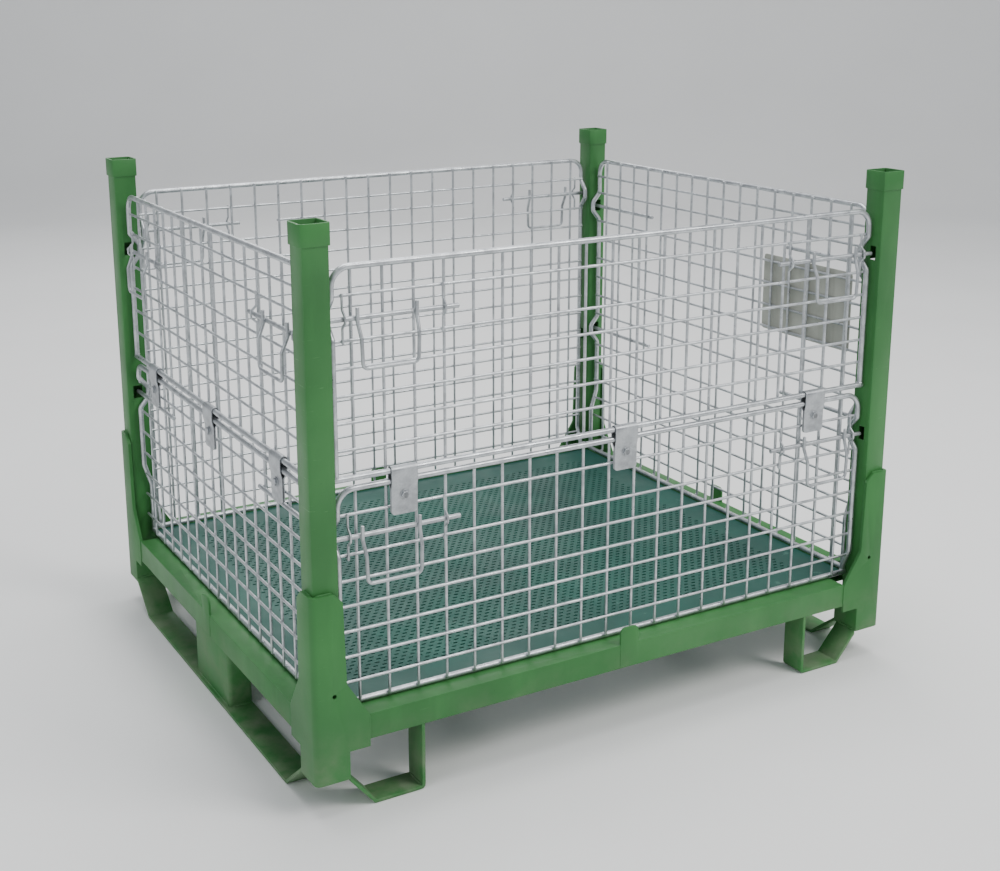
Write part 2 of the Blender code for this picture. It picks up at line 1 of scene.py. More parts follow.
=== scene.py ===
"""The looks of the wire mesh container: round wires, clips, latches, perforated floor, paint and zinc."""

import json
import math
import random

import bmesh
import bpy
from mathutils import Matrix, Vector

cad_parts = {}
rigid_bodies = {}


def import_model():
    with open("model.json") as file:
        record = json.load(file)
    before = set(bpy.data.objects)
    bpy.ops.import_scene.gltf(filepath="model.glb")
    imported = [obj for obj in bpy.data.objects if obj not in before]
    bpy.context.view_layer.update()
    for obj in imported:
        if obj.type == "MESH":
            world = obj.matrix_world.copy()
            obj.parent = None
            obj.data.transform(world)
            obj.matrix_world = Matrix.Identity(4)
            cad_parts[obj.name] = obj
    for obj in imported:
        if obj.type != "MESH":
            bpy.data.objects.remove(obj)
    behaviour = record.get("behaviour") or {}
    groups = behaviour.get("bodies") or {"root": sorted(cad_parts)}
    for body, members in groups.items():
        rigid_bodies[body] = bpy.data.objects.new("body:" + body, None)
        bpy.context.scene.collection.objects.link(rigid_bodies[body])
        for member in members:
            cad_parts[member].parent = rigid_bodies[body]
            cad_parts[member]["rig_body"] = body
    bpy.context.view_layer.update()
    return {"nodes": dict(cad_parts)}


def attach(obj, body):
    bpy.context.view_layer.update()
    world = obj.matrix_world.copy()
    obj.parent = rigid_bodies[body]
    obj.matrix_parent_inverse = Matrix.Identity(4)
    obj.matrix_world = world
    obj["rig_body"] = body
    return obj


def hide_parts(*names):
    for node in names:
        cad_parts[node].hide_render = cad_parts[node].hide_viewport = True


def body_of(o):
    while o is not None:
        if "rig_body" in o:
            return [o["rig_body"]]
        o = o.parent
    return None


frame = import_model()
RNG = random.Random(7)

HALF_LENGTH, HALF_WIDTH, HEIGHT = 0.600, 0.500, 0.950
POST_INSET, POST, COLLAR_HEIGHT = 0.007, 0.045, 0.034
SLEEVE_TOP, FOOT_SIZE, GUSSET_REACH, RAIL_TOP = 0.377, 0.060, 0.096, 0.161
FLOOR_INSET, FLOOR_THICKNESS = 0.0492, 0.003
FLOOR_NOTCH_EDGE = 0.055  # from the footprint's edge to the inside of the floor's corner notches
FLOOR_MARGIN = 0.068  # plain sheet round the perforations
FLOOR_COLUMNS, FLOOR_ROWS = 57, 68
HOLE_LENGTH, HOLE_WIDTH = 0.0100, 0.0042
BAR, WIRE, GUIDE, PITCH = 0.005, 0.0025, 0.002, 0.053
PANEL_INSET, BAR_OVERHANG = 0.0295, 0.0055
BAR_END, WIRE_END = 0.0013, 0.0028  # how far a bar or wire runs past the centre of the bar it's welded to
JOGGLE = 0.014  # how far a panel that stands on a rail steps in at its foot
JOGGLE_WIRE_START = 0.0025  # its uprights end on top of the bottom bar
LEVEL_OFFSET, UPRIGHT_OFFSET, CORNER_RADIUS = 0.0035, 0.0070, 0.030
CROOK_DEPTH, CROOK_HEIGHT, CROOK_STRAIGHT, SIDE_BAR_GAP = 0.018, 0.064, 0.020, 0.0095
LOWER_BOTTOM, LOWER_TOP, UPPER_BOTTOM, UPPER_TOP = 0.1663, 0.531, 0.548, 0.878
WELDED_OFFSET, WELDED_LENGTH, WELDED_ENTRY = 0.0025, 0.233, 0.009
ROD, ROD_LENGTH, ROD_OFFSET, ROD_CLEAR = 0.004, 0.220, 0.0035, 0.004
HANDLE, HANDLE_WIDTH, HANDLE_FOOT_WIDTH, HANDLE_START = 0.003, 0.100, 0.094, 0.044
HANDLE_STUB, HANDLE_DROP, HANDLE_STEP = 0.017, 0.076, 0.010
GUIDE_NEAR, GUIDE_FAR, GUIDE_REACH = 0.027, 0.198, 0.039
CLIP_WIDTH, CLIP_SHEET, CLIP_SHIFT = 0.046, 0.002, 0.0022
LONG_OPENING = HALF_LENGTH - POST_INSET - POST
SHORT_OPENING = HALF_WIDTH - POST_INSET - POST
LONG_JOGGLE, SHORT_JOGGLE = (0.180, 0.215), (0.268, 0.3145)
LONG_UPRIGHTS, SHORT_UPRIGHTS = 20, 16
LONG_CLIPS, SHORT_CLIPS = (-0.424, 0.0, 0.424), (-0.318, 0.0, 0.318)
LONG_LATCHES, SHORT_LATCHES = (0.453, 0.799), (0.470, 0.770)
CUT_WIRE = (LONG_LATCHES[1], 5)  # the back's wire at its bolts: height, and the upright where it starts
# turn about Z from the front, half the opening between posts, distance from the centre to the panels,
# upright wires, clips, and the heights between which a standing panel steps in at its foot
SIDES = {
    "front": (0, LONG_OPENING, HALF_WIDTH - PANEL_INSET, LONG_UPRIGHTS, LONG_CLIPS, LONG_JOGGLE),
    "back": (180, LONG_OPENING, HALF_WIDTH - PANEL_INSET, LONG_UPRIGHTS, (), LONG_JOGGLE),
    "left": (-90, SHORT_OPENING, HALF_LENGTH - PANEL_INSET, SHORT_UPRIGHTS, SHORT_CLIPS, SHORT_JOGGLE),
    "right": (90, SHORT_OPENING, HALF_LENGTH - PANEL_INSET, SHORT_UPRIGHTS, (), SHORT_JOGGLE),
}
SHORT_LOWER = (0.205, 0.250, 0.296, 0.341, 0.386, 0.431)
SHORT_UPPER = (0.5985, 0.6445, 0.6905, 0.735, 0.802, 0.841)
BACK_LEVELS = (*(0.205 + 0.043 * i for i in range(14)), 0.834)
# node: body, side, bottom, top, heights of its rods, whether they slide, level wires
PANELS = {
    "lower_panel_front": (
        "lower_front", "front", LOWER_BOTTOM, LOWER_TOP, LONG_LATCHES[:1], True,
        (0.2068, 0.2498, 0.2928, 0.3358, 0.3788, 0.4218, 0.488),
    ),
    "upper_panel_front": (
        "upper_front", "front", UPPER_BOTTOM, UPPER_TOP, LONG_LATCHES[1:], True,
        (0.592, 0.635, 0.678, 0.721, 0.764, 0.834),
    ),
    "lower_panel_left": (
        "base", "left", LOWER_BOTTOM, LOWER_TOP, SHORT_LATCHES[:1], False, (*SHORT_LOWER, 0.494)
    ),
    "upper_panel_left": (
        "upper_left", "left", UPPER_BOTTOM, UPPER_TOP, SHORT_LATCHES[1:], True, SHORT_UPPER
    ),
    "full_panel_back": ("back", "back", LOWER_BOTTOM, UPPER_TOP, LONG_LATCHES[1:], True, BACK_LEVELS),
    "full_panel_right": (
        "base", "right", LOWER_BOTTOM, UPPER_TOP, SHORT_LATCHES, False,
        (*SHORT_LOWER, 0.5075, 0.553, *SHORT_UPPER),
    ),
}
CAMERA_PLACE, CAMERA_LENS, CAMERA_SHIFT = (-1.3834, -2.3759, 1.2749), 51.694, (0.0392, -0.0896)
CAMERA_ANGLES = (29.194, 13.964, -0.358)  # heading, down and roll, in degrees
STAGE_TURN = -29.4  # the backdrop faces the camera
CORNERS = {"front_left": (-1, -1), "front_right": (1, -1), "back_left": (-1, 1), "back_right": (1, 1)}


# ---------------------------------------------------------------- mesh building


class Shape:
    """Collects vertices and faces for one mesh."""

    def __init__(self):
        self.verts, self.faces = [], []

    def add(self, verts, faces):
        start = len(self.verts)
        self.verts += [tuple(v) for v in verts]
        self.faces += [[i + start for i in face] for face in faces]

    def tube(self, points, radius, sides=12, rings=None):
        """A round bar along the points with slightly chamfered ends. rings gives a radius at each point."""
        points = [Vector(p) for p in points]
        tangents = []
        for i in range(len(points)):
            before = (points[i] - points[i - 1]).normalized() if i else Vector()
            after = (points[i + 1] - points[i]).normalized() if i + 1 < len(points) else Vector()
            tangents.append((before + after).normalized())
        side = tangents[0].orthogonal().normalized()
        chamfer = min(radius * 0.3, 0.0007)
        ends = {0: -1, len(points) - 1: 1}
        circles = []
        for i, (point, tangent) in enumerate(zip(points, tangents)):
            side = (side - tangent * side.dot(tangent)).normalized()
            other = tangent.cross(side)
            size = rings[i] if rings else radius
            full = (point, size)
            if i in ends and not rings:
                tip = (point, size - chamfer)
                back = (point - tangent * chamfer * ends[i], size)
                loops = [tip, back] if i == 0 else [back, tip]
            else:
                loops = [full]
            for centre, r in loops:
                circles.append([
                    centre + (side * math.cos(a) + other * math.sin(a)) * r
                    for a in (2 * math.pi * k / sides for k in range(sides))
                ])
        verts = [v for circle in circles for v in circle]
        faces = []
        for c in range(len(circles) - 1):
            for k in range(sides):
                a, b = c * sides + k, c * sides + (k + 1) % sides
                faces.append([a, b, b + sides, a + sides])
        faces.append(list(range(sides))[::-1])
        faces.append([len(verts) - sides + k for k in range(sides)])
        self.add(verts, faces)

    def blob(self, centre, radii, rows=4, columns=8):
        """A small ellipsoid, such as a spot of weld."""
        verts = [Vector((0, 0, -1))]
        for i in range(1, rows):
            a = math.pi * i / rows - math.pi / 2
            for k in range(columns):
                b = 2 * math.pi * k / columns
                verts.append(Vector((math.cos(a) * math.cos(b), math.cos(a) * math.sin(b), math.sin(a))))
        verts.append(Vector((0, 0, 1)))
        last = len(verts) - 1
        faces = []
        for k in range(columns):
            n = (k + 1) % columns
            faces.append([0, 1 + n, 1 + k])
            for i in range(rows - 2):
                a, b = 1 + i * columns + k, 1 + i * columns + n
                faces.append([a, b, b + columns, a + columns])
            faces.append([last, last - columns + k, last - columns + n])
        self.add([Vector(centre) + Vector([v[i] * radii[i] for i in range(3)]) for v in verts], faces)

    def mesh(self, name, material, crease=35):
        mesh = bpy.data.meshes.new(name)
        mesh.from_pydata(self.verts, [], self.faces)
        finish_mesh(mesh, material, crease)
        return mesh


def finish_mesh(mesh, material, crease=35):
    """Faces out, smooth except over edges sharper than the crease angle."""
    bm = bmesh.new()
    bm.from_mesh(mesh)
    bmesh.ops.recalc_face_normals(bm, faces=bm.faces)
    for face in bm.faces:
        face.smooth = True
    limit = math.radians(crease)
    for edge in bm.edges:
        edge.smooth = len(edge.link_faces) == 2 and edge.calc_face_angle(0) < limit
    bm.to_mesh(mesh)
    bm.free()
    mesh.materials.clear()
    mesh.materials.append(material)


def fillet(points, radius, steps=5):
    """The same path with each inner corner rounded off."""
    points = [Vector(p) for p in points]
    made = [points[0]]
    for before, corner, after in zip(points, points[1:], points[2:]):
        a, b = before - corner, after - corner
        angle = a.angle(b)
        reach = min(radius / math.tan(angle / 2), a.length * 0.48, b.length * 0.48)
        if angle > math.radians(178) or reach < 1e-5:
            made.append(corner)
            continue
        a.normalize()
        b.normalize()
        size = reach * math.tan(angle / 2)
        centre = corner + (a + b).normalized() * (size / math.sin(angle / 2))
        start, end = corner + a * reach - centre, corner + b * reach - centre
        turn = start.angle(end)
        for i in range(steps + 1):
            t = i / steps
            spot = start * math.sin((1 - t) * turn) + end * math.sin(t * turn)
            made.append(centre + spot / math.sin(turn))
    made.append(points[-1])
    return made


def show(name, mesh, body, turn=0.0, place=(0, 0, 0), replaces=()):
    """An object in its rest place that moves with a body and stands for CAD nodes."""
    obj = bpy.data.objects.new(name, mesh)
    bpy.context.scene.collection.objects.link(obj)
    spin = Matrix.Rotation(math.radians(turn), 4, "Z")
    obj.matrix_world = spin @ Matrix.Translation(place)
    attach(obj, body)
    if replaces:
        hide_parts(*replaces)
    return obj


# ---------------------------------------------------------------- materials


class Nodes:
    """Short names for building a material's node tree."""

    def __init__(self, name):
        self.material = bpy.data.materials.new(name)
        self.material.use_nodes = True
        self.tree = self.material.node_tree
        self.shader = self.tree.nodes["Principled BSDF"]
        self.coords = self.tree.nodes.new("ShaderNodeTexCoord").outputs["Object"]

    def node(self, kind, **values):
        node = self.tree.nodes.new("ShaderNode" + kind)
        for key, value in values.items():
            if hasattr(node, key):
                setattr(node, key, value)
            else:
                node.inputs[key.replace("_", " ").title()].default_value = value
        return node

    def link(self, a, b):
        self.tree.links.new(a, b)

    def stretch(self, scale):
        node = self.node("Mapping")
        node.inputs["Scale"].default_value = scale
        self.link(self.coords, node.inputs["Vector"])
        return node.outputs[0]

    def noise(self, scale, detail=3.0, roughness=0.5, vector=None):
        node = self.node("TexNoise", scale=scale, detail=detail, roughness=roughness)
        self.link(vector or self.coords, node.inputs["Vector"])
        return node.outputs["Fac"]

    def cells(self, scale, output="Color"):
        node = self.node("TexVoronoi", scale=scale)
        self.link(self.coords, node.inputs["Vector"])
        return node.outputs[output]

    def ramp(self, value, low, high, start=0.0, end=1.0):
        node = self.node("MapRange")
        for key, number in (("From Min", low), ("From Max", high), ("To Min", start), ("To Max", end)):
            node.inputs[key].default_value = number
        self.link(value, node.inputs["Value"])
        return node.outputs[0]

    def mix(self, factor, a, b, mode="MIX"):
        node = self.node("Mix", data_type="RGBA", blend_type=mode)
        if isinstance(factor, float):
            node.inputs[0].default_value = factor
        else:
            self.link(factor, node.inputs[0])
        for value, place in ((a, 6), (b, 7)):
            if isinstance(value, tuple):
                node.inputs[place].default_value = (*value, 1)
            else:
                self.link(value, node.inputs[place])
        return node.outputs[2]

    def math(self, operation, a, b):
        node = self.node("Math", operation=operation)
        for value, place in ((a, 0), (b, 1)):
            if isinstance(value, (int, float)):
                node.inputs[place].default_value = value
            else:
                self.link(value, node.inputs[place])
        return node.outputs[0]

    def height(self, low, high):
        """1 below low and 0 above high, in metres above the ground for a piece that sits at the origin."""
        split = self.node("SeparateXYZ")
        self.link(self.coords, split.inputs[0])
        return self.ramp(split.outputs["Z"], low, high, 1.0, 0.0)

    def bump(self, layers):
        """Bump layers as (height, strength, distance in metres), one over the other."""
        normal = None
        for value, strength, distance in layers:
            node = self.node("Bump")
            node.inputs["Strength"].default_value = strength
            node.inputs["Distance"].default_value = distance
            self.link(value, node.inputs["Height"])
            if normal:
                self.link(normal, node.inputs["Normal"])
            normal = node.outputs[0]
        self.link(normal, self.shader.inputs["Normal"])

    def edges(self, radius=0.0012):
        """Brighter towards the convex edges."""
        bevel = self.node("Bevel")
        bevel.inputs["Radius"].default_value = radius
        flat = self.node("NewGeometry").outputs["Normal"]
        dot = self.node("VectorMath", operation="DOT_PRODUCT")
        self.link(bevel.outputs[0], dot.inputs[0])
        self.link(flat, dot.inputs[1])
        return self.ramp(dot.outputs["Value"], 0.985, 0.80)


def paint(name, light, dark, roughness, ground_dust=True, gloss=0.5):
    """Brush-and-spray enamel: patchy tone, orange peel, runs, dust, scuffs and worn edges."""
    n = Nodes(name)
    colour = n.mix(n.ramp(n.noise(5, 4), 0.35, 0.68), dark, light)
    runs = n.noise(24, 3, vector=n.stretch((1, 1, 0.16)))
    colour = n.mix(n.ramp(runs, 0.52, 0.75, 0, 0.30), colour, tuple(v * 1.35 for v in light))
    specks = n.ramp(n.noise(420, 2), 0.70, 0.78, 0, 0.5)
    colour = n.mix(specks, colour, tuple(v * 0.45 for v in dark))
    scratch = n.noise(18, 5, 0.7, n.stretch((1, 1, 14)))
    scratch = n.math("MULTIPLY", n.ramp(scratch, 0.655, 0.69), n.ramp(n.noise(3, 2), 0.5, 0.6))
    pale = tuple(min(1, v * 1.6 + 0.07) for v in light)
    colour = n.mix(n.math("MULTIPLY", scratch, 0.45), colour, pale)
    worn = n.math("MULTIPLY", n.edges(), n.ramp(n.noise(60, 5, 0.65), 0.46, 0.62))
    colour = n.mix(n.math("MULTIPLY", worn, 0.55), colour, pale)
    rough = n.ramp(n.noise(9, 3), 0.3, 0.7, roughness - 0.07, roughness + 0.10)
    if ground_dust:
        dust = n.math("MULTIPLY", n.height(0.0, 0.16), n.ramp(n.noise(14, 5, 0.6), 0.42, 0.66))
        colour = n.mix(n.math("MULTIPLY", dust, 0.42), colour, (0.33, 0.31, 0.26))
        rough = n.math("ADD", rough, n.math("MULTIPLY", dust, 0.25))
    n.link(colour, n.shader.inputs["Base Color"])
    n.link(rough, n.shader.inputs["Roughness"])
    n.shader.inputs["IOR"].default_value = 1.5
    n.shader.inputs["Specular IOR Level"].default_value = gloss
    n.bump([(n.noise(700, 2), 0.10, 0.0004), (n.noise(110, 3), 0.16, 0.0008), (n.noise(26, 2), 0.2, 0.0012)])
    return n.material


def zinc(name, tone, roughness):
    """Galvanised wire: patchy zinc with faint spangle and dull spots."""
    n = Nodes(name)
    light = tuple(v * tone for v in (0.66, 0.69, 0.71))
    dark = tuple(v * tone for v in (0.44, 0.46, 0.48))
    colour = n.mix(n.ramp(n.noise(38, 4, 0.6), 0.36, 0.66), dark, light)
    spangle = n.ramp(n.cells(420), 0.0, 1.0, 0.86, 1.0)
    colour = n.mix(1.0, colour, spangle, "MULTIPLY")
    dull = n.ramp(n.noise(150, 4, 0.65), 0.60, 0.72)
    colour = n.mix(n.math("MULTIPLY", dull, 0.35), colour, tuple(v * tone for v in (0.42, 0.41, 0.39)))
    n.link(colour, n.shader.inputs["Base Color"])
    rough = n.ramp(n.noise(85, 3), 0.3, 0.7, roughness - 0.10, roughness + 0.12)
    n.link(n.math("ADD", rough, n.math("MULTIPLY", dull, 0.15)), n.shader.inputs["Roughness"])
    n.shader.inputs["Metallic"].default_value = 0.85
    n.bump([(n.noise(520, 3), 0.22, 0.0003), (n.noise(130, 2), 0.25, 0.0006)])
    return n.material


def plate_finish(name):
    """A weathered anodised plate with faint streaks and specks."""
    n = Nodes(name)
    colour = n.mix(n.ramp(n.noise(12, 4), 0.35, 0.68), (0.37, 0.38, 0.33), (0.49, 0.50, 0.44))
    streak = n.ramp(n.noise(60, 4, vector=n.stretch((1, 1, 0.12))), 0.5, 0.72, 0, 0.35)
    colour = n.mix(streak, colour, (0.26, 0.25, 0.20))
    colour = n.mix(n.ramp(n.noise(500, 2), 0.66, 0.76, 0, 0.5), colour, (0.17, 0.16, 0.13))
    n.link(colour, n.shader.inputs["Base Color"])
    n.link(n.ramp(n.noise(45, 3), 0.3, 0.7, 0.38, 0.6), n.shader.inputs["Roughness"])
    n.shader.inputs["Metallic"].default_value = 0.25
    n.bump([(n.noise(800, 2), 0.12, 0.0003), (n.noise(90, 3), 0.15, 0.0006)])
    return n.material


GREEN = paint("green_enamel", (0.048, 0.200, 0.052), (0.032, 0.150, 0.037), 0.48, True, 0.34)
TEAL = paint("floor_enamel", (0.014, 0.094, 0.070), (0.009, 0.064, 0.050), 0.50, False, 0.30)
ZINC = zinc("bright_zinc", 1.0, 0.36)
ZINC_FITTING = zinc("fitting_zinc", 0.92, 0.40)
ZINC_CLIP = zinc("clip_zinc", 0.88, 0.44)
PLATE = plate_finish("label_finish")


# ---------------------------------------------------------------- mesh panels


def frame_bar(side, height, rods, joggle):
    """One half of the bent frame bar, from its foot up the left side to the middle of its top corner."""
    step, flat = CROOK_HEIGHT / 2, CROOK_STRAIGHT / 2
    path = [(-side, 0, -BAR_END)]
    if joggle:
        path = [(-side, JOGGLE, -BAR_END), (-side, JOGGLE, joggle[0]), (-side, 0, joggle[1])]
    for z in rods:
        path += [
            (-side, 0, z - step),
            (-side, CROOK_DEPTH, z - flat),
            (-side, CROOK_DEPTH, z + flat),
            (-side, 0, z + step),
        ]
    path.append((-side, 0, rods[-1] + step + 0.004))
    radius = min(CORNER_RADIUS, height - rods[-1] - step - 0.005)
    corner = []
    for i in range(11):
        a = math.radians(180 - 9 * i)
        x, z = -side + radius + radius * math.cos(a), height - radius + radius * math.sin(a)
        corner.append(Vector((x, 0, z)))
    return fillet(path, 0.012, 5)[:-1] + corner, radius


def panel_shape(opening, uprights, bottom, top, rods, slides, levels, cut_wire, joggle):
    """A whole mesh panel, measured from the middle of its bottom bar, with its outer face in -Y."""
    shape = Shape()
    side = opening - SIDE_BAR_GAP
    height = top - bottom
    rods = [z - bottom for z in rods]
    levels = [z - bottom for z in levels]
    foot = JOGGLE if joggle else 0.0
    half, radius = frame_bar(side, height, rods, joggle)
    bar = half + [Vector((-p.x, p.y, p.z)) for p in reversed(half)]
    shape.tube(bar, BAR, 16)
    reach = side + BAR_OVERHANG
    shape.tube([(-reach, foot, 0), (reach, foot, 0)], BAR, 16)
    start = -(uprights - 1) / 2 * PITCH
    spots = [start + i * PITCH for i in range(uprights)]
    for z in levels:
        inset = side + 0.003
        if z > height - radius:
            inset = side - radius + math.sqrt(max(0, radius**2 - (z - height + radius) ** 2)) + 0.003
        shape.tube([(-inset, LEVEL_OFFSET, z), (inset, LEVEL_OFFSET, z)], WIRE, 12)
        for x in spots:
            place = (x, (LEVEL_OFFSET + UPRIGHT_OFFSET) / 2 + 0.0004, z)
            shape.blob(place, (0.0033, 0.0030, 0.0033))
        if not joggle or z > joggle[1]:
            for x in (-inset + 0.003, inset - 0.003):
                shape.blob((x, 0.0022, z), (0.0042, 0.0040, 0.0042))
    if cut_wire:
        z, first = cut_wire[0] - bottom, spots[cut_wire[1]]
        shape.tube([(first - 0.004, LEVEL_OFFSET, z), (0.004 - first, LEVEL_OFFSET, z)], WIRE, 12)
    for x in spots:
        tip = height
        if abs(x) > side - radius:
            tip = height - radius + math.sqrt(max(0, radius**2 - (abs(x) - side + radius) ** 2))
        low = JOGGLE_WIRE_START if joggle else -WIRE_END
        shape.tube([(x, UPRIGHT_OFFSET, low), (x, UPRIGHT_OFFSET, tip + WIRE_END)], WIRE, 12)
        shape.blob((x, 0.0098 if joggle else 0.0052, 0.0033 if joggle else 0), (0.0038, 0.0036, 0.0038))
        shape.blob((x, 0.0052, tip), (0.0038, 0.0036, 0.0038))
    for sign in (-1, 1):
        shape.blob((sign * side, foot, 0.0052), (0.0062, 0.0062, 0.0036))
        for z in rods:
            if slides:
                for distance in (GUIDE_NEAR, GUIDE_FAR):
                    add_guide(shape, sign * (opening - distance), z)
            else:
                end = opening + WELDED_ENTRY
                path = [(sign * end, WELDED_OFFSET, z), (sign * (end - WELDED_LENGTH), WELDED_OFFSET, z)]
                shape.tube(path, ROD, 20)
                for x in spots:
                    if end - WELDED_LENGTH < sign * x < opening:
                        shape.blob((x, 0.0058, z + 0.0034), (0.0036, 0.0030, 0.0030))
    return shape


def add_guide(shape, x, z):
    """A wire with a V bent outwards round the bolt at height z, welded to the level wires."""
    seat, tip = LEVEL_OFFSET - WIRE - GUIDE + 0.0005, -0.0105
    path = [
        (x, seat, z - GUIDE_REACH),
        (x, seat, z - 0.014),
        (x, tip, z - 0.005),
        (x, tip, z + 0.005),
        (x, seat, z + 0.014),
        (x, seat, z + GUIDE_REACH),
    ]
    shape.tube(fillet(path, 0.005, 4), GUIDE, 12)
    for end in (z - 0.035, z + 0.035):
        shape.blob((x, 0.0006, end), (0.0033, 0.0030, 0.0036))


def latch_shape(sign):
    """A bolt for a panel's left end (sign 1) or right end (sign -1), from the rod's outer end."""
    shape = Shape()
    shape.tube([(0, 0, 0), (sign * ROD_LENGTH, 0, 0)], ROD, 20)
    front = -ROD - HANDLE + 0.001
    back = front - HANDLE_STEP
    near, far = HANDLE_START, HANDLE_START + HANDLE_WIDTH
    taper = (HANDLE_WIDTH - HANDLE_FOOT_WIDTH) / 2
    leg = [
        (near, front, HANDLE_STUB),
        (near, front, -0.006),
        (near + taper / 2, back, -0.030),
        (near + taper, back, -HANDLE_DROP),
    ]
    path = leg + [(near + far - x, y, z) for x, y, z in reversed(leg)]
    path = [(sign * x, y, z) for x, y, z in path]
    shape.tube(fillet(path, 0.009, 7), HANDLE, 14)
    for x in (near, far):
        shape.blob((sign * x, -ROD - 0.0003, 0.0026), (0.0040, 0.0026, 0.0030), 5, 10)
        shape.blob((sign * x, -ROD - 0.0003, -0.0026), (0.0040, 0.0026, 0.0030), 5, 10)
    return shape


def clip_shape():
    """A folded sheet clip with rounded leaves, and its bolt, washer and nut, from the upper bar's middle."""
    shape = Shape()
    inner_radius, leaf, sheet = BAR + 0.0006, 0.0006, CLIP_SHEET
    middle = inner_radius + sheet / 2
    low, pinch, straight = -0.0725, -0.031, -0.020
    half = leaf + sheet / 2
    front = [(-CLIP_SHIFT - half, low), (-CLIP_SHIFT - half, pinch), (-middle, straight), (-middle, 0)]
    back = [(middle, 0), (middle, straight), (-CLIP_SHIFT + half, pinch), (-CLIP_SHIFT + half, low)]
    angles = [math.pi * (1 - i / 14) for i in range(1, 14)]
    fold = [(middle * math.cos(a), middle * math.sin(a)) for a in angles]
    front3 = fillet([(0, y, z) for y, z in front], 0.004, 4)
    back3 = fillet([(0, y, z) for y, z in back], 0.004, 4)
    path = front3 + [Vector((0, y, z)) for y, z in fold] + back3
    corner = 0.006
    dense = []
    for a, b in zip(path, path[1:]):
        count = max(1, int((b - a).length / 0.006))
        dense += [a.lerp(b, i / count) for i in range(count)]
    dense.append(path[-1])
    lengths = [0.0]
    for a, b in zip(dense, dense[1:]):
        lengths.append(lengths[-1] + (b - a).length)
    total = lengths[-1]
    extra = [corner * (1 - math.cos(math.radians(a))) for a in (0, 22.5, 45, 67.5, 90)]
    between = [v for v in lengths if corner < v < total - corner]
    stops = sorted(set(extra + [total - v for v in extra] + between))
    verts, rows = [], []
    k = 0
    for s in stops:
        while k < len(lengths) - 2 and lengths[k + 1] < s:
            k += 1
        span = lengths[k + 1] - lengths[k]
        point = dense[k].lerp(dense[k + 1], (s - lengths[k]) / span)
        a = dense[max(0, k - 1)] if s - lengths[k] < span / 2 else dense[k]
        b = dense[k + 1] if s - lengths[k] < span / 2 else dense[min(len(dense) - 1, k + 2)]
        along = (b - a).normalized()
        normal = Vector((0, -along.z, along.y))
        d = min(s, total - s)
        width = CLIP_WIDTH / 2
        if d < corner:
            width -= corner - math.sqrt(corner**2 - (corner - d) ** 2)
        soft = 0.00045
        ring = []
        for x, depth in (
            (-width + soft, -sheet / 2), (width - soft, -sheet / 2), (width, -sheet / 2 + soft),
            (width, sheet / 2 - soft), (width - soft, sheet / 2), (-width + soft, sheet / 2),
            (-width, sheet / 2 - soft), (-width, -sheet / 2 + soft),
        ):
            ring.append(Vector((x, 0, 0)) + point + normal * depth)
        rows.append(ring)
    verts = [v for ring in rows for v in ring]
    faces = []
    for r in range(len(rows) - 1):
        for c in range(8):
            a, b = r * 8 + c, r * 8 + (c + 1) % 8
            faces.append([a, b, b + 8, a + 8])
    faces.append(list(range(8))[::-1])
    faces.append([len(verts) - 8 + c for c in range(8)])
    shape.add(verts, faces)
    outer = -CLIP_SHIFT - leaf - sheet
    inner = -CLIP_SHIFT + leaf + sheet
    z = -0.041
    disc(shape, z, outer + 0.0002, outer - 0.0013, 0.0085, 28, 0.0003)
    disc(shape, z, outer - 0.0012, outer - 0.0050, 0.0068, 6, 0.0007)
    disc(shape, z, outer - 0.0049, outer - 0.0050, 0.0048, 20, 0.0)
    disc(shape, z, inner - 0.0002, inner + 0.0013, 0.0080, 28, 0.0003)
    disc(shape, z, inner + 0.0012, inner + 0.0046, 0.0066, 6, 0.0007)
    return shape


def disc(shape, z, start, end, radius, sides, chamfer):
    """A washer, nut or bolt head on an axis along Y."""
    step = chamfer if end > start else -chamfer
    rings = [(start, radius), (end - step, radius), (end, radius - chamfer)]
    verts = []
    for y, r in rings:
        for k in range(sides):
            a = 2 * math.pi * k / sides
            verts.append((r * math.cos(a), y, z + r * math.sin(a)))
    faces = []
    for i in range(2):
        for k in range(sides):
            a, b = i * sides + k, i * sides + (k + 1) % sides
            faces.append([a, b, b + sides, a + sides])
    faces.append(list(range(sides)))
    faces.append([2 * sides + k for k in range(sides)])
    shape.add(verts, faces)


def build_panels():
    latches = {sign: latch_shape(sign).mesh(f"latch_{sign}", ZINC_FITTING) for sign in (-1, 1)}
    clip = clip_shape().mesh("clip", ZINC_CLIP, 40)
    for node, (body, side, bottom, top, rods, slides, levels) in PANELS.items():
        turn, opening, depth, uprights, clips, steps = SIDES[side]
        joggle = [z - bottom for z in steps] if bottom == LOWER_BOTTOM else None
        cut_wire = CUT_WIRE if side == "back" else None
        shape = panel_shape(opening, uprights, bottom, top, rods, slides, levels, cut_wire, joggle)
        mesh = shape.mesh(node, ZINC)
        show(f"mesh_{node}", mesh, body, turn, (0, -depth, bottom), [node])
        if slides:
            for end, sign in (("left", 1), ("right", -1)):
                bolt = node.replace("_panel", "_bolt") + "_" + end
                place = (-sign * (opening - ROD_CLEAR), -depth - ROD_OFFSET, rods[0])
                bolt_body = f"bolt_{body}_{end}"
                show(f"fine_{bolt}", latches[sign], bolt_body, turn, place, [bolt])
        if top == LOWER_TOP:
            for end, x in zip(("left", "middle", "right"), clips):
                clip_node = f"hinge_clip_{side}_{end}"
                place = (x, -depth, UPPER_BOTTOM)
                show(f"fine_{clip_node}", clip, body, turn, place, [clip_node])


# ---------------------------------------------------------------- base


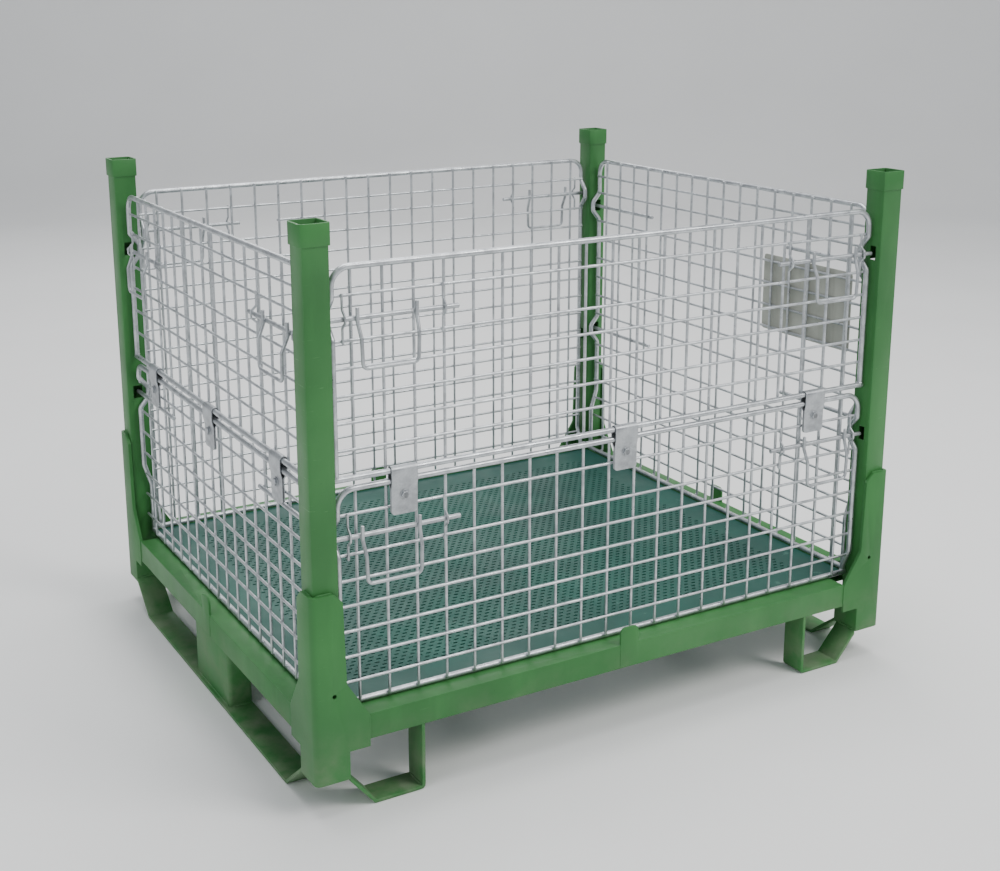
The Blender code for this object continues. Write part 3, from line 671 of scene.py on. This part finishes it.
def soften(node, material, width=0.0008, segments=2):
    """A copy of a CAD node with its hard edges rounded off."""
    source = frame["nodes"][node]
    bm = bmesh.new()
    bm.from_mesh(source.data)
    bmesh.ops.remove_doubles(bm, verts=bm.verts, dist=2e-5)
    bmesh.ops.dissolve_limit(bm, angle_limit=math.radians(0.5), verts=bm.verts, edges=bm.edges)
    sharp = [e for e in bm.edges if len(e.link_faces) == 2 and e.calc_face_angle(0) > math.radians(50)]
    bmesh.ops.bevel(
        bm, geom=sharp, offset=width, segments=segments, profile=0.5, affect="EDGES", clamp_overlap=True
    )
    mesh = bpy.data.meshes.new(node + "_soft")
    bm.to_mesh(mesh)
    bm.free()
    finish_mesh(mesh, material, 32)
    return show("fine_" + node, mesh, body_of(source)[0], replaces=[node])


def perforated_floor():
    """The sheet, with staggered slots inside plain margins."""
    shape = Shape()
    top, bottom = RAIL_TOP, RAIL_TOP - FLOOR_THICKNESS
    x0, y0 = -HALF_LENGTH + FLOOR_INSET + FLOOR_MARGIN, -HALF_WIDTH + FLOOR_INSET + FLOOR_MARGIN
    pitch_x, pitch_y = -2 * x0 / FLOOR_COLUMNS, -2 * y0 / FLOOR_ROWS
    hole = []
    end, radius = (HOLE_LENGTH - HOLE_WIDTH) / 2, HOLE_WIDTH / 2
    for centre, angles in ((end, (-90, -30, 30, 90)), (-end, (90, 150, 210, 270))):
        for a in angles:
            hole.append((centre + radius * math.cos(math.radians(a)), radius * math.sin(math.radians(a))))
    index = {}
    verts, faces = [], []

    def vertex(x, y, z):
        key = (round(x, 6), round(y, 6), round(z, 6))
        if key not in index:
            index[key] = len(verts)
            verts.append((x, y, z))
        return index[key]

    def cell(low_x, high_x, low_y, high_y, drilled):
        for z, flip in ((top, False), (bottom, True)):
            box = [(low_x, low_y), (high_x, low_y), (high_x, high_y), (low_x, high_y)]
            outer = [vertex(x, y, z) for x, y in box]
            if not drilled:
                faces.append(outer[::-1] if flip else outer)
                continue
            cx, cy = (low_x + high_x) / 2, (low_y + high_y) / 2
            inner = [vertex(cx + x, cy + y, z) for x, y in hole]
            quads = [
                [outer[0], outer[1], inner[0], inner[7]],
                [outer[1], inner[1], inner[0]],
                [outer[1], outer[2], inner[2], inner[1]],
                [outer[2], inner[3], inner[2]],
                [outer[2], outer[3], inner[4], inner[3]],
                [outer[3], inner[5], inner[4]],
                [outer[3], outer[0], inner[6], inner[5]],
                [outer[0], inner[7], inner[6]],
            ]
            faces.extend(q[::-1] if flip else q for q in quads)
        if drilled:
            for i in range(8):
                j = (i + 1) % 8
                a, b = hole[i], hole[j]
                faces.append([
                    vertex(cx + a[0], cy + a[1], top), vertex(cx + a[0], cy + a[1], bottom),
                    vertex(cx + b[0], cy + b[1], bottom), vertex(cx + b[0], cy + b[1], top),
                ])

    for row in range(FLOOR_ROWS):
        low_y = y0 + row * pitch_y
        shift = pitch_x / 2 if row % 2 else 0
        if shift:
            cell(x0, x0 + shift, low_y, low_y + pitch_y, False)
            cell(-x0 - shift, -x0, low_y, low_y + pitch_y, False)
        for column in range(FLOOR_COLUMNS - (1 if shift else 0)):
            low_x = x0 + shift + column * pitch_x
            cell(low_x, low_x + pitch_x, low_y, low_y + pitch_y, True)
    edge_x, edge_y = HALF_LENGTH - FLOOR_INSET, HALF_WIDTH - FLOOR_INSET
    notch = FLOOR_NOTCH_EDGE - FLOOR_INSET
    corners = [(-edge_x, -edge_y), (edge_x, -edge_y), (edge_x, edge_y), (-edge_x, edge_y)]
    for z, flip in ((top, False), (bottom, True)):
        inner = [(x0, y0), (-x0, y0), (-x0, -y0), (x0, -y0)]
        for i in range(4):
            j = (i + 1) % 4
            a, b = Vector(corners[i]), Vector(corners[j])
            along = (b - a).normalized() * notch
            inward = Vector((-along.y, along.x))
            face = [a + along + inward, a + along, b - along, b - along + inward]
            face = [vertex(p.x, p.y, z) for p in face]
            face += [vertex(*inner[j], z), vertex(*inner[i], z)]
            faces.append(face[::-1] if flip else face)
    outline = []
    for i, (cx, cy) in enumerate(corners):
        sx, sy = (1 if cx < 0 else -1), (1 if cy < 0 else -1)
        trio = [(cx, cy + sy * notch), (cx + sx * notch, cy + sy * notch), (cx + sx * notch, cy)]
        outline += trio if i % 2 == 0 else trio[::-1]
    for a, b in zip(outline, outline[1:] + outline[:1]):
        faces.append([vertex(*a, bottom), vertex(*b, bottom), vertex(*b, top), vertex(*a, top)])
    mesh = bpy.data.meshes.new("perforated_floor")
    mesh.from_pydata(verts, [], faces)
    mesh.validate()
    mesh.materials.append(TEAL)
    show("perforated_floor", mesh, "base", replaces=["floor_sheet"])


def bead(shape, start, end, radius=0.0026):
    """A run of weld between two points."""
    start, end = Vector(start), Vector(end)
    count = max(6, int((end - start).length / 0.0016))
    rings, points = [], []
    for i in range(count + 1):
        t = i / count
        ripple = 0.82 + 0.18 * abs(math.sin(i * 1.35)) + RNG.uniform(-0.05, 0.05)
        fade = min(1.0, 0.45 + 6 * min(t, 1 - t))
        rings.append(radius * ripple * fade)
        points.append(start.lerp(end, t))
    shape.tube(points, radius, 8, rings)


def build_welds():
    """Painted weld runs where the base's parts meet."""
    shape = Shape()
    for x_sign, y_sign in CORNERS.values():
        def at(u, v, z):
            return (x_sign * (HALF_LENGTH - u), y_sign * (HALF_WIDTH - v), z)

        # gusset to rail, on both faces
        bead(shape, at(GUSSET_REACH, 0.0016, 0.121), at(GUSSET_REACH, 0.0016, 0.158), 0.0020)
        bead(shape, at(0.0016, GUSSET_REACH, 0.121), at(0.0016, GUSSET_REACH, 0.158), 0.0020)
        # sleeve top to post
        bead(shape, at(0.038, 0.0062, SLEEVE_TOP), at(0.012, 0.0062, SLEEVE_TOP), 0.0022)
        bead(shape, at(0.0062, 0.038, SLEEVE_TOP), at(0.0062, 0.012, SLEEVE_TOP), 0.0022)
        # collar's foot
        low = HEIGHT - COLLAR_HEIGHT
        bead(shape, at(0.020, 0.0068, low), at(0.036, 0.0068, low), 0.0016)
        bead(shape, at(0.0068, 0.020, low), at(0.0068, 0.036, low), 0.0016)
        # foot loop to foot, gusset and rail
        bead(shape, at(FOOT_SIZE + 0.0005, 0.006, 0.0595), at(FOOT_SIZE + 0.0005, 0.046, 0.0595), 0.0026)
        bead(shape, at(0.1955, 0.006, 0.1165), at(0.1955, 0.038, 0.1165), 0.0022)
        bead(shape, at(0.1885, 0.006, 0.1165), at(0.1885, 0.038, 0.1165), 0.0022)
        bead(shape, at(0.1885, 0.006, 0.0066), at(0.1885, 0.046, 0.0066), 0.0022)
        # runner to foot
        bead(shape, at(0.006, FOOT_SIZE + 0.0005, 0.0655), at(0.046, FOOT_SIZE + 0.0005, 0.0655), 0.0026)
    for sign in (-1, 1):
        face = sign * (HALF_LENGTH - 0.0075)
        inner = face - sign * 0.045
        for z in (0.1165, 0.0066):
            bead(shape, (face, -0.080, z), (face, 0.080, z), 0.0024)
        for y in (-0.0902, 0.0902):
            bead(shape, (face - sign * 0.006, y, 0.0066), (inner + sign * 0.006, y, 0.0066), 0.0024)
    show("weld_runs", shape.mesh("weld_runs", GREEN, 60), "base")


def build_base():
    for prefixes in (("post_", "corner_sleeve_", "rail_", "floor_bearer_"), ("runner_", "foot_loop_")):
        for node in frame["nodes"]:
            if node.startswith(prefixes):
                soften(node, GREEN, 0.0010 if node.startswith("corner") else 0.0008)
    soften("label_plate", PLATE, 0.0004, 1)
    perforated_floor()
    build_welds()


# ---------------------------------------------------------------- stage, light and camera


def stage_material():
    n = Nodes("studio_floor")
    colour = n.mix(n.ramp(n.noise(1.5, 3), 0.3, 0.7), (0.86, 0.86, 0.85), (0.89, 0.89, 0.88))
    n.link(colour, n.shader.inputs["Base Color"])
    n.shader.inputs["Roughness"].default_value = 0.75
    return n.material


def area_light(name, place, target, size, power, colour=(1, 1, 1)):
    data = bpy.data.lights.new(name, "AREA")
    data.shape = "RECTANGLE"
    data.size, data.size_y = size
    data.energy = power
    data.color = colour
    light = bpy.data.objects.new(name, data)
    light.location = place
    light.rotation_euler = (Vector(target) - Vector(place)).to_track_quat("-Z", "Y").to_euler()
    bpy.context.scene.collection.objects.link(light)


def build_stage():
    mesh = bpy.data.meshes.new("studio_floor")
    size, back, height, bend = 14.0, 7.0, 7.0, 1.6
    sink = 0.0004  # below the ground, so that the runners don't share its plane
    profile = [(-size, 0.0), (back - bend, 0.0)]
    for i in range(1, 13):
        a = i * math.pi / 24
        profile.append((back - bend + bend * math.sin(a), bend - bend * math.cos(a)))
    profile.append((back, height))
    angle = math.radians(STAGE_TURN)
    c, s = math.cos(angle), math.sin(angle)
    verts = []
    for y, z in profile:
        for x in (-size, size):
            verts.append((x * c - y * s, x * s + y * c, z - sink))
    faces = [[2 * i, 2 * i + 1, 2 * i + 3, 2 * i + 2] for i in range(len(profile) - 1)]
    mesh.from_pydata(verts, [], faces)
    for polygon in mesh.polygons:
        polygon.use_smooth = True
    mesh.materials.append(stage_material())
    floor = bpy.data.objects.new("studio_floor", mesh)
    bpy.context.scene.collection.objects.link(floor)

    area_light("key", (2.4, -3.6, 4.4), (0, 0, 0.4), (2.4, 2.4), 188, (1.0, 0.985, 0.96))
    area_light("fill", (-4.6, -1.6, 2.2), (0, 0, 0.4), (2.6, 2.2), 45, (0.95, 0.975, 1.0))
    area_light("top", (0.2, 0.4, 4.6), (0, 0, 0), (3.2, 3.2), 150)
    area_light("rim", (1.4, 4.4, 3.2), (0, 0, 0.5), (3.0, 1.8), 60)
    world = bpy.data.worlds.new("studio")
    world.use_nodes = True
    background = world.node_tree.nodes["Background"]
    background.inputs["Color"].default_value = (0.86, 0.90, 0.96, 1)
    background.inputs["Strength"].default_value = 0.50
    bpy.context.scene.world = world


def build_camera():
    data = bpy.data.cameras.new("camera")
    data.sensor_width = 36.0
    data.lens = CAMERA_LENS
    data.shift_x, data.shift_y = CAMERA_SHIFT
    data.clip_start, data.clip_end = 0.05, 60
    camera = bpy.data.objects.new("camera", data)
    heading, down, roll = (math.radians(a) for a in CAMERA_ANGLES)
    level = math.cos(down)
    forward = Vector((math.sin(heading) * level, math.cos(heading) * level, -math.sin(down)))
    turn = forward.to_track_quat("-Z", "Y").to_matrix().to_4x4()
    camera.matrix_world = Matrix.Translation(CAMERA_PLACE) @ turn @ Matrix.Rotation(roll, 4, "Z")
    bpy.context.scene.collection.objects.link(camera)
    bpy.context.scene.camera = camera


build_panels()
build_base()
build_stage()
build_camera()
bpy.context.view_layer.update()
